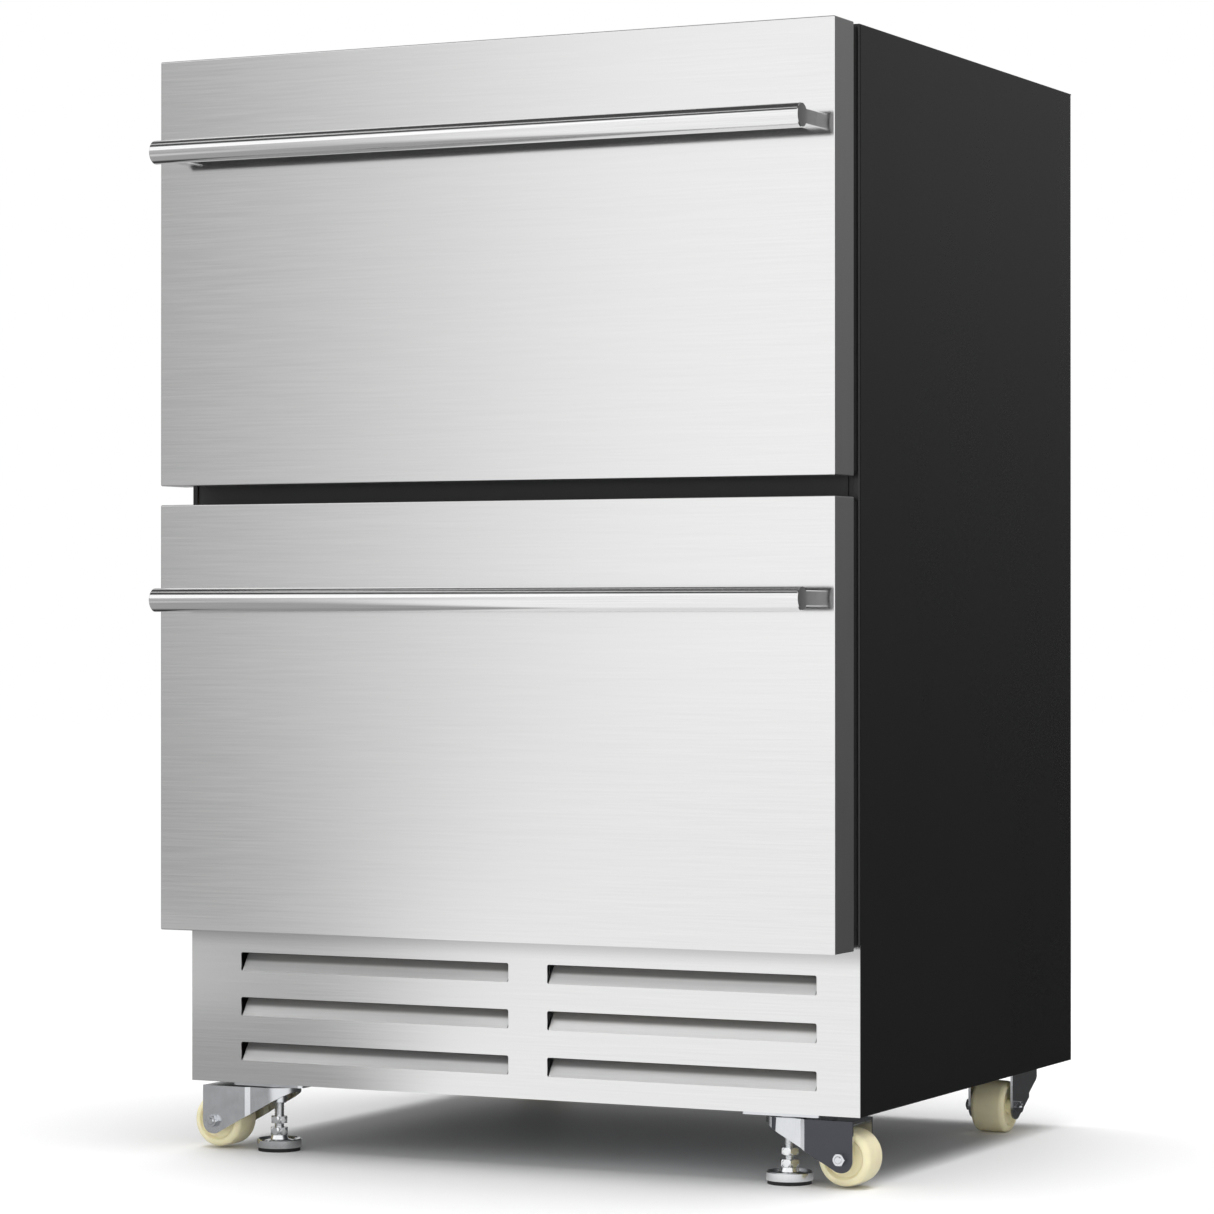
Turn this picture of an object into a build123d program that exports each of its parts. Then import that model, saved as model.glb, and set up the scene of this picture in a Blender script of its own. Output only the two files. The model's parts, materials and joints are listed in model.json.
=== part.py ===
from build123d import *
import os
from math import cos, radians, sin

# Two-drawer undercounter refrigerator on levelling casters, in millimetres.
# Origin: on the floor, under the middle of the overall box. +X to the right as seen
# from the front, +Y to the rear, +Z up.

# ---- driving dimensions -------------------------------------------------------------
WIDTH = 595.0
CASE_DEPTH = 470.5
CASE_BOTTOM = 56.5
FRONT_HEIGHT = 344.8
FRONT_SPLIT = 15.4
LOWER_FRONT_BOTTOM = 183.5
FRONT_THICK = 36.0
FRONT_STANDOFF = 12.5
HANDLE_RADIUS = 9.5
HANDLE_STANDOFF = 30.0
HANDLE_DROP = 77.3
HANDLE_INSET = 13.5
SHEET = 1.0
WALL = 42.0
LINER_THICK = 2.0
KICK_TOP = 187.5
RUN_GAP = 0.06

# ---- worked out from the driving dimensions -------------------------------------------
HALF_WIDTH = WIDTH / 2
UPPER_FRONT_BOTTOM = LOWER_FRONT_BOTTOM + FRONT_HEIGHT + FRONT_SPLIT
TOP = UPPER_FRONT_BOTTOM + FRONT_HEIGHT
HANDLE_REACH = HANDLE_STANDOFF + HANDLE_RADIUS
TOTAL_DEPTH = HANDLE_REACH + FRONT_THICK + FRONT_STANDOFF + CASE_DEPTH
CASE_BACK = TOTAL_DEPTH / 2
CASE_FRONT = CASE_BACK - CASE_DEPTH
SLAB_BACK = CASE_FRONT - FRONT_STANDOFF
SLAB_FACE = SLAB_BACK - FRONT_THICK
WEB_INNER = HALF_WIDTH - SHEET
REAR_HALF = WEB_INNER - 1.6
TRAY_BOTTOM = CASE_BOTTOM + SHEET
TRAY_TOP = TRAY_BOTTOM + 1.5
LINER_HALF = HALF_WIDTH - WALL
LINER_FRONT = CASE_FRONT + 1.5
LINER_BACK = CASE_BACK - 45.0
LINER_FLOOR = 215.0
LINER_CEILING = TOP - 45.0
STEP_FRONT = 118.0
STEP_TOP = 294.0
MACHINE_FRONT = 150.0
MACHINE_TOP = 262.0
MULLION_BOTTOM = 514.0
MULLION_TOP = 558.0

# Drawers: bottom of the front, bottom and top of the bin, rear end of the bin, middle
# height of the slides, bottom and top of the dyke behind the front.
DRAWERS = {
    "upper": {
        "front": UPPER_FRONT_BOTTOM, "bin": (566.0, 770.0), "bin_back": 190.0,
        "rail": 700.0, "dyke": (567.0, 838.0), "gasket": (545.7, 886.8),
    },
    "lower": {
        "front": LOWER_FRONT_BOTTOM, "bin": (224.0, 440.0), "bin_back": 100.0,
        "rail": 380.0, "dyke": (223.0, 504.0), "gasket": (185.5, 526.5),
    },
}
DYKE_BACK = SLAB_BACK + 6.8
BIN_HALF = 238.0
BIN_WALL = 2.5
BIN_CORNER = 7.0
BIN_RIM = 3.0
SEAT_INSET = 14.0

# Slides, for the right side: sections as (web X, reach of the lips in X, half height).
RAIL_FRONT = CASE_FRONT + 5.25
RAIL_BACK = 194.0
SLIDE_SHEET = 1.2
RAIL_WEB = 242.5
DRAWER_SLIDE = (RAIL_WEB, RAIL_WEB + 6.3, 12.0)
MIDDLE_SLIDE = (249.4, 246.4, 253.6, 17.0)
FIXED_SLIDE = (LINER_HALF - SLIDE_SHEET, 245.4, 22.5)

# Kick plate: three rows of louvres in two columns.
LOUVRE_COLUMNS = ((-250.5, -4.0), (30.5, 261.5))
LOUVRE_TOPS = (163.3, 126.7, 90.1)
LOUVRE_HEIGHT = 15.2
LOUVRE_DEPTH = 10.5

# Casters: swivel axis, wheel direction about it (degrees) and axle height.
CASTERS = {
    "front_left": {"at": (-228.5, CASE_FRONT + 24.0), "turn": 180.0, "axle": 23.5, "foot": True},
    "front_right": {"at": (228.5, CASE_FRONT + 24.0), "turn": 0.0, "axle": 23.5, "foot": True},
    "rear_left": {"at": (-254.0, CASE_BACK - 20.25), "turn": 0.0, "axle": 22.0, "foot": False},
    "rear_right": {"at": (254.0, CASE_BACK - 20.25), "turn": -90.0, "axle": 22.0, "foot": False},
}
WHEEL_RADIUS = 22.0
WHEEL_WIDTH = 29.0
TRAIL = 51.0
FORK_TOP = 52.5
FORK_ROOF = FORK_TOP - 2.2
FORK_SHEET = 2.0
HOUSING_RADIUS = 18.0
CHEEK_HALF = 20.0
CHEEK_START = 21.0
CHEEK_END = 61.0
CHEEK_FOOT_RADIUS = 10.5
CHEEK_SLOPE = 233.0
RUNNING_PLAY = 0.35
COLLAR_RADIUS = 8.5
COLLAR_HEIGHT = 3.0
BEARING_RADIUS = 13.0
AXLE_RADIUS = 3.0
KINGPIN_RADIUS = 6.0
STEM_RADIUS = 4.0
PLATE_BOTTOM = 54.0
PLATE_SCREWS = ((-27.0, -14.0), (27.0, -14.0), (-27.0, 14.0), (27.0, 14.0))
SCREW_RADIUS = 2.5
PLATE_SIZE = (66.0, 40.0, 2.5)
FOOT_RADIUS = 18.2
FOOT_HEIGHT = 12.7
STEM_TOP = 80.0

# Cooling: evaporator fan and condenser fan axes.
EVAP_FAN = (0.0, 760.0)
COND_FAN = (-70.0, 120.0)
SHAFT_RADIUS = 2.5
CONDENSER = {"x": (-190.0, 50.0), "y": (-170.0, -130.0), "z": (64.0, 176.0), "fins": 25, "rows": 7}
EVAPORATOR = {
    "x": (-170.0, 170.0), "y": (LINER_BACK - 24.0, LINER_BACK - 2.0), "z": (586.0, 698.0),
    "fins": 30, "rows": 6,
}
SHROUD_FACE = -118.0
COVER_FACE = LINER_BACK - 29.0
COMPRESSOR = (80.0, 213.0)
STUB_TOP = 208.5

# Rear face: screws in the back panel and the vent cover, power inlet.
REAR_SCREWS_Z = (80.0, 160.0, 240.0, 320.0, 590.0, 860.0)
REAR_SCREW_X = 262.0
VENT_SLOT = (70.0, 5.0)
VENT_COLUMNS = (-95.0, 0.0, 95.0, 190.0)
VENT_ROWS = [84.0 + 15.0 * row for row in range(11)]
INLET = (-200.0, 110.0)

# Air slots in the base tray, under the condenser.
TRAY_SLOT = (60.0, 6.0)
TRAY_COLUMNS = (-150.0, -70.0, 10.0)
TRAY_ROWS = [-160.0 + 14.0 * row for row in range(8)]

# Control panel under the ceiling of the upper compartment.
PANEL_FRONT = CASE_FRONT + 15.25
BUTTON_X = {"colder_button": -20.0, "warmer_button": 20.0}
BUTTON_Z = 832.0
BUTTON_RADIUS = 5.0


# ---- small helpers ----------------------------------------------------------------------
def block(x, y, z):
    """Box between the two values given for each axis."""
    size = Box(x[1] - x[0], y[1] - y[0], z[1] - z[0])
    return Pos((x[0] + x[1]) / 2, (y[0] + y[1]) / 2, (z[0] + z[1]) / 2) * size


def wide(half, y, z):
    """Box centred on X = 0."""
    return block((-half, half), y, z)


def rod_x(radius, x, y, z):
    return Pos((x[0] + x[1]) / 2, y, z) * Rot(0, 90, 0) * Cylinder(radius, x[1] - x[0])


def rod_y(radius, x, y, z):
    return Pos(x, (y[0] + y[1]) / 2, z) * Rot(90, 0, 0) * Cylinder(radius, y[1] - y[0])


def rod_z(radius, x, y, z):
    return Pos(x, y, (z[0] + z[1]) / 2) * Cylinder(radius, z[1] - z[0])


def hex_z(flats, x, y, z):
    """Hexagonal bar along Z."""
    profile = RegularPolygon(flats / 2, 6, major_radius=False)
    return Pos(x, y, z[0]) * extrude(profile, z[1] - z[0])


def hex_y(flats, x, y, z):
    """Hexagonal bar along Y."""
    return Pos(x, y[0], z) * Rot(-90, 0, 0) * hex_z(flats, 0, 0, (0, y[1] - y[0]))


def from_side(points, half):
    """Solid with an outline given in (Y, Z), centred on X = 0."""
    face = Plane.YZ * make_face(Polyline(*points, close=True))
    return extrude(face, half, both=True)


def mirrored(solid):
    """The solid and its mirror image across the middle plane."""
    return [solid, mirror(solid, Plane.YZ)]


def save(name, *solids):
    export_step(Compound(children=list(solids)), os.path.join("parts", name + ".step"))


# ---- cabinet ----------------------------------------------------------------------------
def rear_screw_places():
    return [(side * REAR_SCREW_X, z) for side in (-1, 1) for z in REAR_SCREWS_Z]


def side_panel():
    """Right side sheet with bent front and rear returns and a bottom flange."""
    mid = HALF_WIDTH - SHEET / 2
    front = CASE_FRONT + SHEET / 2
    back = CASE_BACK - SHEET / 2
    return_front = HALF_WIDTH - 5.0
    return_back = HALF_WIDTH - 20.0
    rear = ((mid, back), (return_back, back))
    bend = 1.5
    path = FilletPolyline((return_front, front), (mid, front), *rear, radius=bend)
    upper = Pos(0, 0, KICK_TOP) * extrude(trace(path, SHEET), TOP - SHEET - KICK_TOP)
    low_path = FilletPolyline((mid, CASE_FRONT + SHEET), *rear, radius=bend)
    lower = Pos(0, 0, CASE_BOTTOM) * extrude(trace(low_path, SHEET), KICK_TOP - CASE_BOTTOM)
    flange_y = (CASE_FRONT + SHEET, CASE_BACK - 2 * SHEET)
    flange = block((HALF_WIDTH - 13.5, mid), flange_y, (CASE_BOTTOM, TRAY_BOTTOM))
    return upper + lower + flange


def top_panel():
    """Top sheet with a flange turned down behind the upper edge of the opening."""
    sheet = wide(HALF_WIDTH, (CASE_FRONT, CASE_BACK), (TOP - SHEET, TOP))
    sheet = fillet(sheet.edges().group_by(Axis.Z)[-1], 0.8)
    flange = wide(HALF_WIDTH - 5.1, (CASE_FRONT, CASE_FRONT + SHEET), (TOP - 20.0, TOP - SHEET))
    return sheet + flange


def back_panel():
    y = (CASE_BACK - 2 * SHEET, CASE_BACK - SHEET)
    sheet = wide(REAR_HALF, y, (MACHINE_TOP + 0.5, TOP - SHEET))
    for x, z in rear_screw_places():
        sheet -= rod_y(SCREW_RADIUS, x, y, z)
    return sheet


def rear_vent_cover():
    """Louvred sheet over the machine compartment, cut out for the power inlet."""
    y = (CASE_BACK - 2 * SHEET, CASE_BACK - SHEET)
    sheet = wide(REAR_HALF, y, (TRAY_TOP, MACHINE_TOP))
    slot = Rot(90, 0, 0) * extrude(SlotOverall(*VENT_SLOT), SHEET * 2, both=True)
    for x in VENT_COLUMNS:
        for z in VENT_ROWS:
            sheet -= Pos(x, y[0], z) * slot
    x, z = INLET
    sheet -= block((x - 14.0, x + 14.0), y, (z - 12.0, z + 12.0))
    for x, z in rear_screw_places():
        sheet -= rod_y(SCREW_RADIUS, x, y, z)
    return sheet


def base_tray():
    """Floor sheet with air slots, stem holes and caster screw holes."""
    z = (TRAY_BOTTOM, TRAY_TOP)
    tray = wide(WEB_INNER - 0.1, (CASE_FRONT + SHEET, CASE_BACK - 2 * SHEET), z)
    slot = extrude(SlotOverall(*TRAY_SLOT), TRAY_TOP - TRAY_BOTTOM)
    for x in TRAY_COLUMNS:
        for y in TRAY_ROWS:
            tray -= Pos(x, y, TRAY_BOTTOM) * slot
    for caster in CASTERS.values():
        x, y = caster["at"]
        if caster["foot"]:
            tray -= rod_z(STEM_RADIUS + 1.0, x, y, z)
        for dx, dy in PLATE_SCREWS:
            tray -= rod_z(SCREW_RADIUS, x + dx, y + dy, z)
    return tray


def louvre(columns, top):
    """Flap pushed in about the lower edge of its slot."""
    face = CASE_FRONT
    low = top - LOUVRE_HEIGHT
    rise = LOUVRE_HEIGHT - 0.3
    length = (LOUVRE_DEPTH**2 + rise**2) ** 0.5
    off = (SHEET * rise / length, -SHEET * LOUVRE_DEPTH / length)
    tip = (face + LOUVRE_DEPTH, low + rise)
    tip_back = (tip[0] + off[0], tip[1] + off[1])
    root_z = tip_back[1] - (tip_back[0] - face - SHEET) * rise / LOUVRE_DEPTH
    outline = ((face, low), tip, tip_back, (face + SHEET, root_z))
    half = (columns[1] - columns[0]) / 2 - 1.2
    return Pos((columns[0] + columns[1]) / 2, 0, 0) * from_side(outline, half)


def kick_plate():
    """Front sheet under the drawers with folded edges and six louvres."""
    plate = wide(HALF_WIDTH, (CASE_FRONT, CASE_FRONT + SHEET), (CASE_BOTTOM, KICK_TOP))
    plate += wide(HALF_WIDTH - 20.0, (CASE_FRONT, CASE_FRONT + 6.0), (CASE_BOTTOM, TRAY_BOTTOM))
    plate += wide(HALF_WIDTH - 8.0, (CASE_FRONT, CASE_FRONT + 10.0), (KICK_TOP - SHEET, KICK_TOP))
    for columns in LOUVRE_COLUMNS:
        for top in LOUVRE_TOPS:
            slot_y = (CASE_FRONT - SHEET, CASE_FRONT + 2 * SHEET)
            slot = block(columns, slot_y, (top - LOUVRE_HEIGHT, top))
            slot = fillet(slot.edges().filter_by(Axis.Y), 1.6)
            plate = plate - slot + louvre(columns, top)
    return plate


def liner_outline(grow):
    """Outline of the food compartment in (Y, Z), moved outwards by a wall thickness."""
    front = LINER_FRONT - (0.0 if grow else LINER_THICK)
    return (
        (front, LINER_FLOOR - grow), (STEP_FRONT + grow, LINER_FLOOR - grow),
        (STEP_FRONT + grow, STEP_TOP - grow), (LINER_BACK + grow, STEP_TOP - grow),
        (LINER_BACK + grow, LINER_CEILING + grow), (front, LINER_CEILING + grow),
    )


def inner_liner():
    """Moulded food compartment with a step over the compressor and a front flange."""
    shell = from_side(liner_outline(LINER_THICK), LINER_HALF + LINER_THICK)
    flange_y = (LINER_FRONT, LINER_FRONT + LINER_THICK)
    shell += wide(HALF_WIDTH - 5.2, flange_y, (KICK_TOP + 1.5, TOP - 3.5))
    return shell - from_side(liner_outline(0.0), LINER_HALF)


def foam_insulation():
    """Foamed-in insulation between the liner and the outer sheets."""
    y = (LINER_FRONT + LINER_THICK + 0.1, CASE_BACK - 2.1)
    foam = wide(WEB_INNER - 0.1, y, (KICK_TOP + 0.5, TOP - 1.1))
    foam -= from_side(liner_outline(LINER_THICK), LINER_HALF + LINER_THICK)
    foam -= wide(WIDTH, (MACHINE_FRONT, CASE_BACK), (CASE_BOTTOM, MACHINE_TOP))
    for x, z in rear_screw_places():
        foam -= rod_y(SCREW_RADIUS + 0.5, x, (CASE_BACK - 12.0, CASE_BACK), z)
    return foam


def mullion():
    """Bar across the opening that both gaskets close against."""
    face = wide(HALF_WIDTH - 10.0, (CASE_FRONT, LINER_FRONT - 0.1), (MULLION_BOTTOM, MULLION_TOP))
    face = fillet(face.edges().filter_by(Axis.X).group_by(Axis.Y)[0], 0.6)
    body_y = (LINER_FRONT - 0.1, CASE_FRONT + 30.0)
    body = wide(LINER_HALF - 0.1, body_y, (MULLION_BOTTOM, MULLION_TOP))
    return face + body


def fasteners():
    """Rear sheet screws and the countersunk caster screws with their nuts."""
    made = []
    sheet_y = CASE_BACK - SHEET
    for x, z in rear_screw_places():
        head = fillet(rod_y(4.0, x, (sheet_y, sheet_y + 0.95), z).edges().group_by(Axis.Y)[-1], 0.5)
        slot = block((x - 2.5, x + 2.5), (sheet_y + 0.45, sheet_y + 1.0), (z - 0.5, z + 0.5))
        cross = block((x - 0.5, x + 0.5), (sheet_y + 0.45, sheet_y + 1.0), (z - 2.5, z + 2.5))
        shank = rod_y(SCREW_RADIUS, x, (sheet_y - 10.0, sheet_y), z)
        made.append(head + shank - slot - cross)
    for caster in CASTERS.values():
        for dx, dy in PLATE_SCREWS:
            x = caster["at"][0] + dx
            y = caster["at"][1] + dy
            head = Pos(x, y, PLATE_BOTTOM + 1.0) * Cone(4.5, SCREW_RADIUS, 2.0)
            socket = hex_z(3.0, x, y, (PLATE_BOTTOM, PLATE_BOTTOM + 1.4))
            shank = rod_z(SCREW_RADIUS, x, y, (PLATE_BOTTOM + 1.5, TRAY_TOP + 6.0))
            made.append(head - socket + shank + hex_z(8.0, x, y, (TRAY_TOP, TRAY_TOP + 4.0)))
    return made


# ---- cooling system ---------------------------------------------------------------------
def finned_coil(x, y, z, fins, rows):
    """Straight tubes joined by bends at their ends, pierced through thin upright fins."""
    tube = 4.0
    thick = 1.0
    centre = (y[0] + y[1]) / 2
    pitch = (z[1] - z[0]) / rows
    coil = None
    for row in range(rows):
        level = z[0] + pitch * (row + 0.5)
        run = rod_x(tube, x, centre, level)
        coil = run if coil is None else coil + run
        if row < rows - 1:
            end = x[1] if row % 2 == 0 else x[0]
            ring = Pos(end, centre, level + pitch / 2) * Rot(90, 0, 0) * Torus(pitch / 2, tube)
            side = (end, end + pitch) if row % 2 == 0 else (end - pitch, end)
            keep = block(side, (centre - pitch, centre + pitch), (level - pitch, level + 2 * pitch))
            coil += ring & keep
    step = (x[1] - x[0] - 20.0) / (fins - 1)
    for number in range(fins):
        at = x[0] + 10.0 + step * number
        coil += block((at - thick / 2, at + thick / 2), y, z)
    return coil


def blades(radius, count, depth):
    """Axial fan rotor about Z: hub with a shaft bore and pitched blades."""
    hub_radius = radius * 0.36
    rotor = Cylinder(hub_radius, depth)
    for number in range(count):
        blade = Box(radius - hub_radius + 2.0, radius * 0.5, 1.6)
        middle = (radius + hub_radius) / 2 - 1.5
        rotor += Rot(0, 0, 360.0 * number / count) * Pos(middle, 0, 0) * Rot(24, 0, 0) * blade
    return (rotor & Cylinder(radius, 4 * depth)) - Cylinder(SHAFT_RADIUS + RUN_GAP, 4 * depth)


def fan_mount(x, z, motor, plate_y, radius):
    """Motor on three arms with its shaft, to be joined to a plate with a round hole."""
    body = rod_y(radius * 0.36, x, motor, z)
    arm = Pos(radius / 2, 0, 0) * Box(radius + 6.0, 5.0, plate_y[1] - plate_y[0])
    upright = Pos(x, (plate_y[0] + plate_y[1]) / 2, z) * Rot(90, 0, 0)
    for number in range(3):
        body += upright * Rot(0, 0, 120.0 * number + 90) * arm
    return body


def evaporator_cover():
    """Panel at the back of the upper compartment with a fan ring and return air slots."""
    x, fan_z = EVAP_FAN
    half = 230.0
    sheet = 2.0
    z = (575.0, 838.0)
    plate_y = (COVER_FACE, COVER_FACE + sheet)
    through_y = (COVER_FACE - 1, COVER_FACE + 3)
    cover = wide(half, (COVER_FACE, LINER_BACK), z)
    cover -= wide(half - sheet, (plate_y[1], LINER_BACK + 1), (z[0] + sheet, z[1] - sheet))
    cover = fillet(cover.edges().filter_by(Axis.Z).group_by(Axis.Y)[0], 1.0)
    cover -= rod_y(50.0, x, through_y, fan_z)
    for number in range(11):
        slot_x = -150.0 + 30.0 * number
        cover -= block((slot_x - 3.0, slot_x + 3.0), through_y, (592.0, 622.0))
    for radius in (20.0, 30.0, 40.0):
        cover += rod_y(radius + 1.0, x, plate_y, fan_z) - rod_y(radius - 1.0, x, plate_y, fan_z)
    cover += fan_mount(*EVAP_FAN, (COVER_FACE, COVER_FACE + 8), plate_y, 49.0)
    return cover + rod_y(SHAFT_RADIUS, x, (COVER_FACE + 8, COVER_FACE + 24), fan_z)


def evaporator_fan():
    x, z = EVAP_FAN
    return Pos(x, COVER_FACE + 16.5, z) * Rot(90, 0, 0) * blades(46.0, 5, 12.0)


def condenser_fan_shroud():
    """Plate behind the condenser with its motor and shaft."""
    x, fan_z = COND_FAN
    y = (SHROUD_FACE, SHROUD_FACE + 2.0)
    motor_back = SHROUD_FACE + 22.0
    plate = block((-200.0, 60.0), y, (62.0, 178.0))
    plate -= rod_y(52.0, x, (y[0] - 2.0, y[1] + 2.0), fan_z)
    plate += fan_mount(*COND_FAN, (SHROUD_FACE, motor_back), y, 51.0)
    return plate + rod_y(SHAFT_RADIUS, x, (motor_back, motor_back + 20.0), fan_z)


def condenser_fan():
    x, z = COND_FAN
    return Pos(x, SHROUD_FACE + 31.0, z) * Rot(90, 0, 0) * blades(48.0, 5, 14.0)


def compressor():
    """Welded oval can on a foot plate, with rubber grommets and stub pipes."""
    x, y = COMPRESSOR
    can = Pos(x, y, 78.0) * extrude(Ellipse(80.0, 54.0), 130.0)
    can = fillet(can.edges().group_by(Axis.Z)[-1], 26.0)
    can = fillet(can.edges().group_by(Axis.Z)[0], 12.0)
    can += Pos(x, y, 130.0) * extrude(Ellipse(83.0, 57.0), 4.0)
    can += block((x - 95.0, x + 95.0), (y - 50.0, y + 50.0), (75.0, 79.0))
    for dx in (-85.0, 85.0):
        for dy in (-38.0, 38.0):
            can += rod_z(8.0, x + dx, y + dy, (TRAY_TOP, 83.0))
    return can + rod_z(5.0, x - 60.0, y, (150.0, STUB_TOP))


def tube_path(radius, bend, *points):
    """Round tube along straight runs joined by equal bends."""
    path = FilletPolyline(*points, radius=bend)
    start = path @ 0
    heading = path % 0
    return sweep(Plane(origin=start, z_dir=heading) * Circle(radius), path=path)


def refrigerant_tubes():
    """Discharge line, liquid line with its filter drier, and suction line."""
    x, y = COMPRESSOR
    low = 70.0
    high = 235.0
    discharge = tube_path(
        3.0, 14.0, (x - 60.0, y, STUB_TOP), (x - 60.0, y, high), (-60.0, y, high), (-60.0, y, low),
        (-60.0, -60.0, low), (-212.0, -60.0, low), (-212.0, -150.0, low),
    )
    drier = fillet(rod_y(11.0, 90.0, (-80.0, 20.0), 84.0).edges(), 6.0)
    drier += rod_y(3.0, 90.0, (-140.0, 60.0), 84.0)
    high += 3.0
    suction = tube_path(
        4.0, 18.0, (x + 50.0, y, STUB_TOP + 0.5), (x + 50.0, y, high), (220.0, y, high),
        (220.0, y, low), (220.0, 60.0, low),
    )
    return [discharge, drier, suction]


def power_inlet():
    """Appliance inlet: flanged body with a recess and three blades, open to the rear."""
    x, z = INLET
    back = CASE_BACK - SHEET
    body = block((x - 13.8, x + 13.8), (back - 20.0, back), (z - 11.8, z + 11.8))
    body += block((x - 18.0, x + 18.0), (back, back + 0.9), (z - 15.0, z + 15.0))
    recess = block((x - 12.0, x + 12.0), (back - 16.0, back + 1.0), (z - 8.5, z + 8.5))
    body -= fillet(recess.edges().filter_by(Axis.Y), 2.0)
    for dx, dz in ((-7.0, -3.0), (0.0, 1.0), (7.0, -3.0)):
        body += block((x + dx - 1, x + dx + 1), (back - 17.0, back - 2.0), (z + dz - 2, z + dz + 2))
    return body


# ---- controls and light -----------------------------------------------------------------
def control_panel():
    """Housing under the ceiling with a display window and two button pockets."""
    y = (PANEL_FRONT, PANEL_FRONT + 18.0)
    panel = wide(75.0, y, (822.0, LINER_CEILING))
    panel = fillet(panel.edges().group_by(Axis.Z)[0], 2.0)
    panel -= wide(9.0, (y[0], y[0] + 0.6), (826.0, 838.0))
    for x in BUTTON_X.values():
        panel -= rod_y(BUTTON_RADIUS + 0.4, x, (y[0], y[0] + 9.0), BUTTON_Z)
    return panel


def button(x):
    cap = rod_y(BUTTON_RADIUS, x, (PANEL_FRONT - 2.0, PANEL_FRONT + 7.0), BUTTON_Z)
    return fillet(cap.edges().group_by(Axis.Y)[0], 0.8)


def led_light():
    lens = wide(60.0, (PANEL_FRONT + 30.0, PANEL_FRONT + 48.0), (LINER_CEILING - 5.0, LINER_CEILING))
    return fillet(lens.edges().group_by(Axis.Z)[0], 2.0)


# ---- drawers ----------------------------------------------------------------------------
def front_skin(bottom):
    """Folded stainless front, open to the rear."""
    top = bottom + FRONT_HEIGHT
    skin = wide(HALF_WIDTH, (SLAB_FACE, SLAB_BACK), (bottom, top))
    skin = fillet(skin.edges().filter_by(Axis.Y) + skin.edges().group_by(Axis.Y)[0], 1.0)
    hollow_y = (SLAB_FACE + SHEET, SLAB_BACK + 1.0)
    return skin - wide(HALF_WIDTH - SHEET, hollow_y, (bottom + SHEET, top - SHEET))


def front_foam(bottom):
    z = (bottom + SHEET, bottom + FRONT_HEIGHT - SHEET)
    return wide(HALF_WIDTH - SHEET, (SLAB_FACE + SHEET, SLAB_BACK - 2.5), z)


def front_liner(bottom, dyke):
    """Moulded inner face of the front with a raised dyke inside the gasket."""
    plate_z = (bottom + SHEET, bottom + FRONT_HEIGHT - SHEET)
    plate = wide(HALF_WIDTH - SHEET, (SLAB_BACK - 2.5, SLAB_BACK), plate_z)
    raised = wide(250.0, (SLAB_BACK, DYKE_BACK), dyke)
    raised = fillet(raised.edges().filter_by(Axis.Y), 8.0)
    raised = fillet(raised.edges().group_by(Axis.Y)[-1], 2.0)
    return plate + raised


def gasket(z):
    """Magnetic gasket: base strip, folded bellows and magnet bulb as one frame."""
    half = HALF_WIDTH - 2.5
    end = CASE_FRONT - 0.3
    inner = wide(half - 20.0, (SLAB_BACK - 1, end + 1), (z[0] + 20.0, z[1] - 20.0))
    frame = wide(half, (SLAB_BACK, end), z)
    groove = wide(half + 1, (SLAB_BACK + 3.2, SLAB_BACK + 5.6), (z[0] - 1, z[1] + 1))
    groove -= wide(half - 3.0, (SLAB_BACK, end), (z[0] + 3.0, z[1] - 3.0))
    return fillet(frame.edges().filter_by(Axis.Y), 3.0) - inner - groove


def handle_bar(z):
    half = HALF_WIDTH - HANDLE_INSET
    bar = rod_x(HANDLE_RADIUS, (-half, half), SLAB_FACE - HANDLE_STANDOFF, z)
    return chamfer(bar.edges().filter_by(GeomType.CIRCLE), 0.6)


def handle_posts(z):
    """Square posts between the bar and the front, each end of the bar."""
    outer = HALF_WIDTH - HANDLE_INSET - 1.0
    axis = SLAB_FACE - HANDLE_STANDOFF
    post = block((outer - 12.0, outer), (axis + 3.0, SLAB_FACE), (z - 6.0, z + 6.0))
    post = chamfer(post.edges().filter_by(Axis.Y), 0.6)
    return mirrored(post - rod_x(HANDLE_RADIUS, (outer - 20.0, outer + 5.0), axis, z))


def rounded_tub(solid, radius):
    """The box with its upright and lower edges rounded."""
    return fillet(solid.edges().filter_by(Axis.Z) + solid.edges().group_by(Axis.Z)[0], radius)


def storage_bin(drawer):
    """Open-topped bin with a rolled rim and seats along its sides for the slides."""
    y = (DYKE_BACK, drawer["bin_back"])
    z = drawer["bin"]
    inner_half = BIN_HALF - BIN_WALL
    inner_y = (y[0] + BIN_WALL, y[1] - BIN_WALL)
    outer = rounded_tub(wide(BIN_HALF, y, z), BIN_CORNER)
    hollow = rounded_tub(wide(inner_half, inner_y, (z[0] + BIN_WALL, z[1] + 1)), BIN_CORNER - BIN_WALL)
    rim = wide(BIN_HALF + BIN_RIM, (y[0], y[1] + BIN_RIM), (z[1] - 2 * BIN_RIM, z[1]))
    rim -= wide(BIN_HALF - 1.0, (inner_y[0], y[1] - 1.0), (z[1] - 2 * BIN_RIM - 1, z[1] + 1))
    seat_z = (drawer["rail"] - 10.0, drawer["rail"] + 10.0)
    seat = block((BIN_HALF - 0.5, RAIL_WEB), (y[0] + SEAT_INSET, y[1] - SEAT_INSET), seat_z)
    left, right = mirrored(seat)
    return outer - hollow + rim + left + right


def channel(web, lips, half, y, z):
    """Steel channel: an upright web with a lip along its upper and lower edge."""
    section = block((web, web + SLIDE_SHEET), y, (z - half, z + half))
    reach = (min(web, lips), max(web, lips))
    section += block(reach, y, (z + half - SLIDE_SHEET, z + half))
    return section + block(reach, y, (z - half, z - half + SLIDE_SHEET))


def fixed_rails():
    made = []
    for drawer in DRAWERS.values():
        rail = channel(*FIXED_SLIDE, (RAIL_FRONT, RAIL_BACK), drawer["rail"])
        made += mirrored(rail)
    return made


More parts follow.
